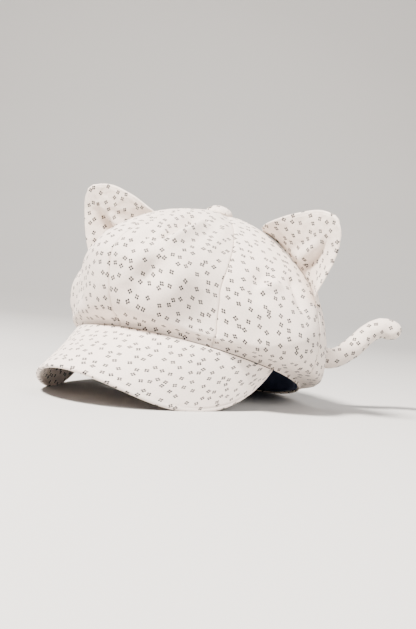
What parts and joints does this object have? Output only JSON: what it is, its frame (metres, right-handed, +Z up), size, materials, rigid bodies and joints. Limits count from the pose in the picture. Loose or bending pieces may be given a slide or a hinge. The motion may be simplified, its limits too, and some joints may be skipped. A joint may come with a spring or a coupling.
{
  "type": "cat ear octagonal cap",
  "caption": "Soft cotton octagonal baker-boy cap with a scattered dot print, a curved brim, cupped cat ears on the side seams and a stuffed tail at the back",
  "frame": {"origin": "centre of the cap's footprint box, on the surface it rests on", "axes": "+X is the wearer's left, -Y the front where the brim is, +Z up"},
  "size_m": [0.2506, 0.2602, 0.1652],
  "materials": {
    "print_cotton": "matte cotton with a small dot print",
    "lining": "matte dark navy",
    "sweatband": "matte dark navy"
  },
  "bodies": {
    "root": {"gore_front_left": "print_cotton", "gore_side_front_left": "print_cotton", "gore_side_back_left": "print_cotton", "gore_back_left": "print_cotton", "gore_back_right": "print_cotton", "gore_side_back_right": "print_cotton", "gore_side_front_right": "print_cotton", "gore_front_right": "print_cotton", "button": "print_cotton", "brim_upper_cover": "print_cotton", "brim_under_cover": "print_cotton", "ear_left": "print_cotton", "ear_right": "print_cotton", "tail": "print_cotton", "lining": "lining", "sweatband": "sweatband"}
  },
  "joints": []
}
